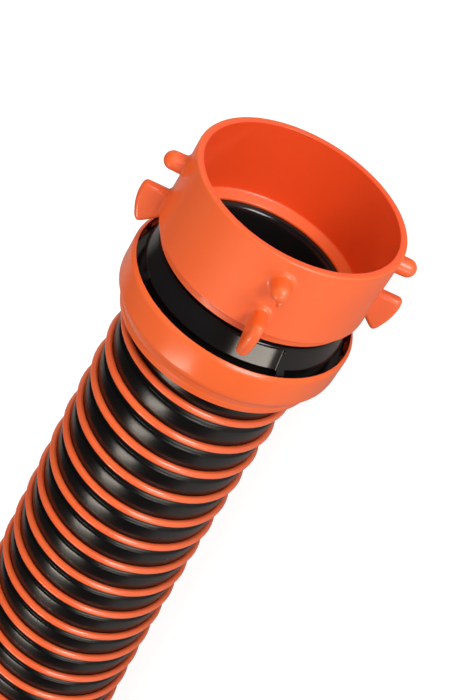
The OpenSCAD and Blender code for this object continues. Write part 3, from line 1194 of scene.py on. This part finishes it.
@dataclass
class Hub(Fitting):
    """The black hub that the collar swivels on: flange, skirt, keys, clip and spigot."""

    keys: int = 4
    first_key: float = 20.0
    seam_angle: float = 112.5
    seam_depths: tuple[float, ...] = (46.4, 48.0, 52.0, 55.7)
    pip: Point = (-0.9, 47.4)
    skirt_top: Point = (45.6, 46.1)
    skirt_edge: Point = (48.35, 56.0)
    outline: tuple[Spot, ...] = (
        (41.3, 41.98, 0.2),
        (45.45, 39.35, 0.2),
        (45.45, 41.75, 0.1),
        (44.3, 41.75, 0.1),
        (44.3, 43.8, 0.2),
        (43.5, 44.4, 0.2),
        (43.5, 45.2, 0.2),
        (45.1, 45.5, 0.3),
        (45.65, 46.2, 0.6),
        (48.35, 56.0, 0.8),
        (46.5, 56.0, 0.2),
        (46.5, 61.6, 0.1),
        (51.2, 61.6, 0.2),
        (51.2, 62.8, 0.2),
        (50.4, 64.0, 0.2),
        (46.5, 64.0, 0.1),
        (46.5, 66.0, 0.2),
        (44.3, 66.0, 0.2),
        (44.3, 60.0, 0.0),
        (37.5, 60.0, 0.0),
        (37.5, 118.0, 0.3),
        (36.5, 120.0, 0.3),
        (35.0, 120.0, 0.3),
        (35.0, 66.0, 0.5),
        (38.0, 56.0, 0.5),
        (38.0, 45.6, 0.0),
        (38.1, 44.5, 0.0),
        (38.35, 43.5, 0.0),
        (38.75, 42.7, 0.0),
        (39.3, 42.1, 0.0),
        (40.0, 41.7, 0.0),
        (40.7, 41.55, 0.0),
    )

    def build(self, name: str) -> bpy.types.Object:
        """Makes the hub in its seat."""
        hub = self.turned(name, soften(self.outline, 5), 160)
        self.add_round(hub, self.key(), self.keys, self.first_key)
        self.add_round(hub, self.seam(), 1, self.seam_angle)
        return self.set_down(hub)

    def key(self) -> Shell:
        """One key between the skirt and the clip flange, at angle 0."""
        shell = Shell()
        side = ((45.6, 54.2), (47.8, 54.4), (50.6, 57.2), (50.6, 63.9), (45.6, 63.9))
        shell.rows([[(x, y, t) for x, t in side] for y in (-1.9, -1.6, 1.6, 1.9)], caps=True)
        return shell

    def skirt_radius(self, depth: float) -> float:
        """The skirt's radius at a depth."""
        (r0, t0), (r1, t1) = self.skirt_top, self.skirt_edge
        return r0 + (depth - t0) * (r1 - r0) / (t1 - t0)

    def seam(self) -> Shell:
        """The mould's parting line down the skirt, with the pip near its top."""
        lifts = (-0.3, 0.02, 0.16, 0.16, 0.02, -0.3)
        across = (-0.5, -0.4, -0.13, 0.13, 0.4, 0.5)
        rows = [
            [(self.skirt_radius(t) + lift, y, t) for lift, y in zip(lifts, across)]
            for t in self.seam_depths
        ]
        shell = Shell()
        shell.rows(rows, caps=True)
        base = self.skirt_radius(self.pip[1])
        heights = (-0.3, -0.3, 0.3, 0.55, 0.75, 0.8)
        radii = (0.0, 0.85, 0.85, 0.75, 0.45, 0.0)
        shell.boss([(base + h, r) for h, r in zip(heights, radii)], self.pip, 14)
        return shell


@dataclass
class LockingRing(Fitting):
    """The orange ring that snaps over the hub's clip flange and holds the hose."""

    teeth: int = 30
    outline: tuple[Spot, ...] = (
        (51.9, 56.4, 0.3),
        (53.3, 57.8, 0.5),
        (53.3, 70.2, 0.0),
        (53.05, 72.0, 0.0),
        (52.2, 73.6, 0.0),
        (50.9, 74.7, 0.6),
        (48.8, 78.9, 0.7),
        (48.9, 79.7, 0.2),
        (48.2, 83.0, 0.6),
        (44.35, 83.0, 0.4),
        (44.35, 76.4, 0.3),
        (48.5, 72.4, 0.5),
        (51.5, 69.4, 0.5),
        (51.5, 56.4, 0.3),
    )

    def build(self, name: str) -> bpy.types.Object:
        """Makes the ring in its seat."""
        ring = self.turned(name, soften(self.outline, 5), 192)
        self.add_round(ring, self.tooth(), self.teeth, 0.0)
        return self.set_down(ring)

    def tooth(self) -> Shell:
        """One snap tooth inside the rim, at angle 0."""
        shell = Shell()
        wide = math.pi / self.teeth / 2
        profile = soften(
            [(50.5, 60.4, 0.2), (51.7, 59.2, 0.0), (51.7, 61.25, 0.0), (50.5, 61.25, 0.2)], 2
        )
        rows = []
        for k in range(5):
            a = wide * (k / 2 - 1)
            rows.append([(r * math.cos(a), r * math.sin(a), t) for r, t in profile])
        shell.rows(rows, caps=True)
        return shell


def rounded_copy(
    node: str, name: str, material: bpy.types.Material, width: float = 0.35
) -> bpy.types.Object:
    """Copies a CAD node, merges its loose triangles and rounds its crisp edges.

    Args:
        node: the CAD node.
        name: the new piece's name.
        material: its finish.
        width: the rounding's width in millimetres.

    Returns:
        The new piece, where the node is.
    """
    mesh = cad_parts[node].data.copy()
    work = bmesh.new()
    work.from_mesh(mesh)
    bmesh.ops.remove_doubles(work, verts=work.verts, dist=2e-6)
    bmesh.ops.dissolve_limit(work, angle_limit=math.radians(1), verts=work.verts, edges=work.edges)
    work.to_mesh(mesh)
    work.free()
    mesh.materials.clear()
    mesh.materials.append(material)
    made = link(name, mesh)
    bevel = made.modifiers.new("edges", "BEVEL")
    bevel.width = width * MM
    bevel.segments = 2
    bevel.limit_method = "ANGLE"
    bevel.angle_limit = math.radians(40)
    bevel.use_clamp_overlap = True
    settle(made)
    made.data.shade_smooth()
    made.data.set_sharp_from_angle(angle=math.radians(45))
    return made


# ---- Studio ----


@dataclass(frozen=True)
class View:
    """The camera: where it stands, how it is turned and its lens."""

    place: Spot = (431.84, -324.54, 572.64)
    right: Spot = (0.4265, -0.5589, -0.7112)
    down: Spot = (-0.6767, -0.7189, 0.1591)
    lens: float = 58.95
    film_height: float = 24.0

    def build(self) -> None:
        """Makes the camera and puts it to use."""
        right = Vector(self.right).normalized()
        up = -Vector(self.down)
        up = (up - right * up.dot(right)).normalized()
        turn = Matrix((right, up, right.cross(up))).transposed().to_4x4()
        data = bpy.data.cameras.new("camera")
        data.sensor_fit = "VERTICAL"
        data.sensor_height = self.film_height
        data.lens = self.lens
        data.clip_start = 0.01
        camera = link("camera", data)
        camera.matrix_world = Matrix.Translation(Vector(self.place) * MM) @ turn
        bpy.context.scene.camera = camera


@dataclass(frozen=True)
class Softbox:
    """An area lamp that faces the near fitting, as bright all over as glow says.

    One that doesn't shine lights the surfaces without showing in their gloss.
    """

    name: str
    way: Spot
    distance: float
    size: Point
    glow: float
    tint: Colour = (1.0, 1.0, 1.0)
    shines: bool = True
    target: Spot = (0.0, 0.0, 0.05)

    def build(self) -> None:
        """Makes the lamp."""
        data = bpy.data.lights.new(self.name, "AREA")
        data.shape = "RECTANGLE"
        data.size, data.size_y = self.size
        data.energy = self.glow * math.pi * self.size[0] * self.size[1]
        data.color = self.tint
        lamp = link(self.name, data)
        way = Vector(self.way).normalized()
        lamp.matrix_world = (
            Matrix.Translation(Vector(self.target) + way * self.distance)
            @ way.to_track_quat("Z", "Y").to_matrix().to_4x4()
        )
        lamp.visible_camera = False
        lamp.visible_glossy = self.shines


@dataclass
class Studio:
    """The pale floor, the soft lamps and the pale surroundings.

    The camera sees the surroundings white. Gloss sees them at gloss_fill, and at horizon
    more at the horizon, which fades out up to horizon_height. All else sees them at fill.
    """

    fill: float = 0.32
    gloss_fill: float = 0.04
    horizon: float = 0.3
    horizon_height: float = 0.12
    floor_lift: float = 0.85
    floor_shine: float = 0.08
    floor_tone: float = 0.38
    floor_edge_mm: float = 9000.0
    whitens: Point = (1.6, 4.0)
    lamps: tuple[Softbox, ...] = (
        Softbox("key_softbox", (0.70, -0.69, 0.17), 1.6, (0.6, 0.7), 14.0),
        Softbox("side_strip", (-0.13, -0.955, 0.265), 1.6, (0.26, 1.35), 10.5, WARM),
        Softbox("top_strip", (-0.745, -0.12, 0.655), 2.6, (0.95, 0.26), 19.0, WARM),
        Softbox("mouth_softbox", (0.85, 0.1, 0.5), 1.6, (0.7, 0.7), 6.5, WARM, False),
        Softbox("back_softbox", (-0.25, 0.7, 0.67), 2.4, (1.6, 1.2), 3.0, WARM, False),
    )

    def build(self) -> None:
        """Makes the studio."""
        for lamp in self.lamps:
            lamp.build()
        self._build_floor()
        world = bpy.data.worlds.new("studio")
        bpy.context.scene.world = world
        world.use_nodes = True
        world.node_tree.nodes.clear()
        tree = Tree(world.node_tree, "ShaderNode")
        way = tree.out("TexCoord", "Generated")
        height = tree.out("SeparateXYZ", "Z", sockets={0: way})
        low = tree.ramp(height, 0.0, self.horizon_height, 1.0, 0.0)
        camera, other = tree.rays()
        gloss = low * self.horizon + self.gloss_fill - self.fill
        strength = self.fill + camera * (1 - self.fill) + other * gloss
        sky = tree.node("Background", sockets={"Color": (1, 1, 1, 1), "Strength": strength})
        tree.node("OutputWorld", sockets={"Surface": sky.outputs[0]})

    def _build_floor(self) -> None:
        """Makes the floor: white to the eye, but for the object's shadow.

        Its own light grows from floor_lift to white between the two distances of whitens,
        in metres from the origin.
        """
        shell = Shell()
        edge = self.floor_edge_mm
        corners = ((-edge, -edge, 0), (edge, -edge, 0), (edge, edge, 0), (-edge, edge, 0))
        shell.add(corners, [(0, 1, 2, 3)])
        floor = shell.build("studio_floor")
        floor.data.transform(Matrix.Scale(MM, 4))
        material, tree = new_material("pale_floor")
        place = tree.out("TexCoord", "Object")
        away = tree.out("ShaderNodeVectorMath", "Value", {"operation": "LENGTH"}, {0: place})
        lift = tree.ramp(away, *self.whitens, self.floor_lift, 1.0)
        camera, other = tree.rays()
        tree.dress(
            {
                "Base Color": (self.floor_tone, self.floor_tone, self.floor_tone, 1),
                "Roughness": 0.95,
                "Specular IOR Level": 0.0,
                "Emission Color": (1, 1, 1, 1),
                "Emission Strength": camera * lift + other * self.floor_shine,
            }
        )
        floor.data.materials.append(material)


# ---- Assembly ----


def hang(
    piece: bpy.types.Object, body: Body, replaced: Sequence[str] = ()
) -> bpy.types.Object:
    """Hangs a finished piece on its body and hides the CAD nodes that it stands for.

    Args:
        piece: the piece.
        body: the body that it rides on.
        replaced: the CAD nodes that it stands for.

    Returns:
        The piece.
    """
    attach(piece, body.value)
    if replaced:
        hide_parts(*replaced)
    log.info("%s has %d faces", piece.name, len(piece.data.polygons))
    return piece


def main() -> None:
    """Builds the view, the hose, the two fittings and the studio."""
    logging.basicConfig(level=logging.INFO, format="%(name)s: %(message)s")
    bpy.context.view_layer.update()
    bpy.context.scene.view_settings.view_transform = "Standard"
    View().build()
    finishes = Finishes()
    hose = Hose(finishes)
    log.info("hose of %.1f mm, which ends at %s", hose.length, hose.line[-1].round(2))
    wall = hang(hose.build_wall(), Body.HOSE, ("hose_run", "hose_coil"))
    rib = hang(hose.build_rib(), Body.HOSE)

    around = round_axis_group()
    near = Seat((0.0, 0.0, hose.axis_z), 180.0).matrix()
    far = Seat(tuple(float(c) for c in hose.line[-1]), 270.0).matrix()
    collar = LugCollar(near, finishes.collar, around).build("collar_with_lugs")
    hang(collar, Body.LUG_RING, ("lug_collar",))
    hub = Hub(near, finishes.hub, around).build("near_hub")
    hang(hub, Body.HOSE, ("lug_hub",))
    ring = LockingRing(near, finishes.ring, around).build("near_locking_ring")
    hang(ring, Body.HOSE, ("lug_lock_ring",))

    far_hub = Hub(far, finishes.hub, around).build("far_hub")
    hang(far_hub, Body.HOSE, ("bayonet_hub",))
    far_ring = LockingRing(far, finishes.ring, around).build("far_locking_ring")
    hang(far_ring, Body.HOSE, ("bayonet_lock_ring",))
    socket = rounded_copy("bayonet_collar", "collar_with_hooks", finishes.collar)
    hang(socket, Body.BAYONET_RING, ("bayonet_collar",))
    for node in ("lug_seal", "bayonet_seal", "bayonet_gasket"):
        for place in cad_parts[node].material_slots:
            place.material = finishes.rubber

    Studio().build()


if __name__ == "__main__":
    main()
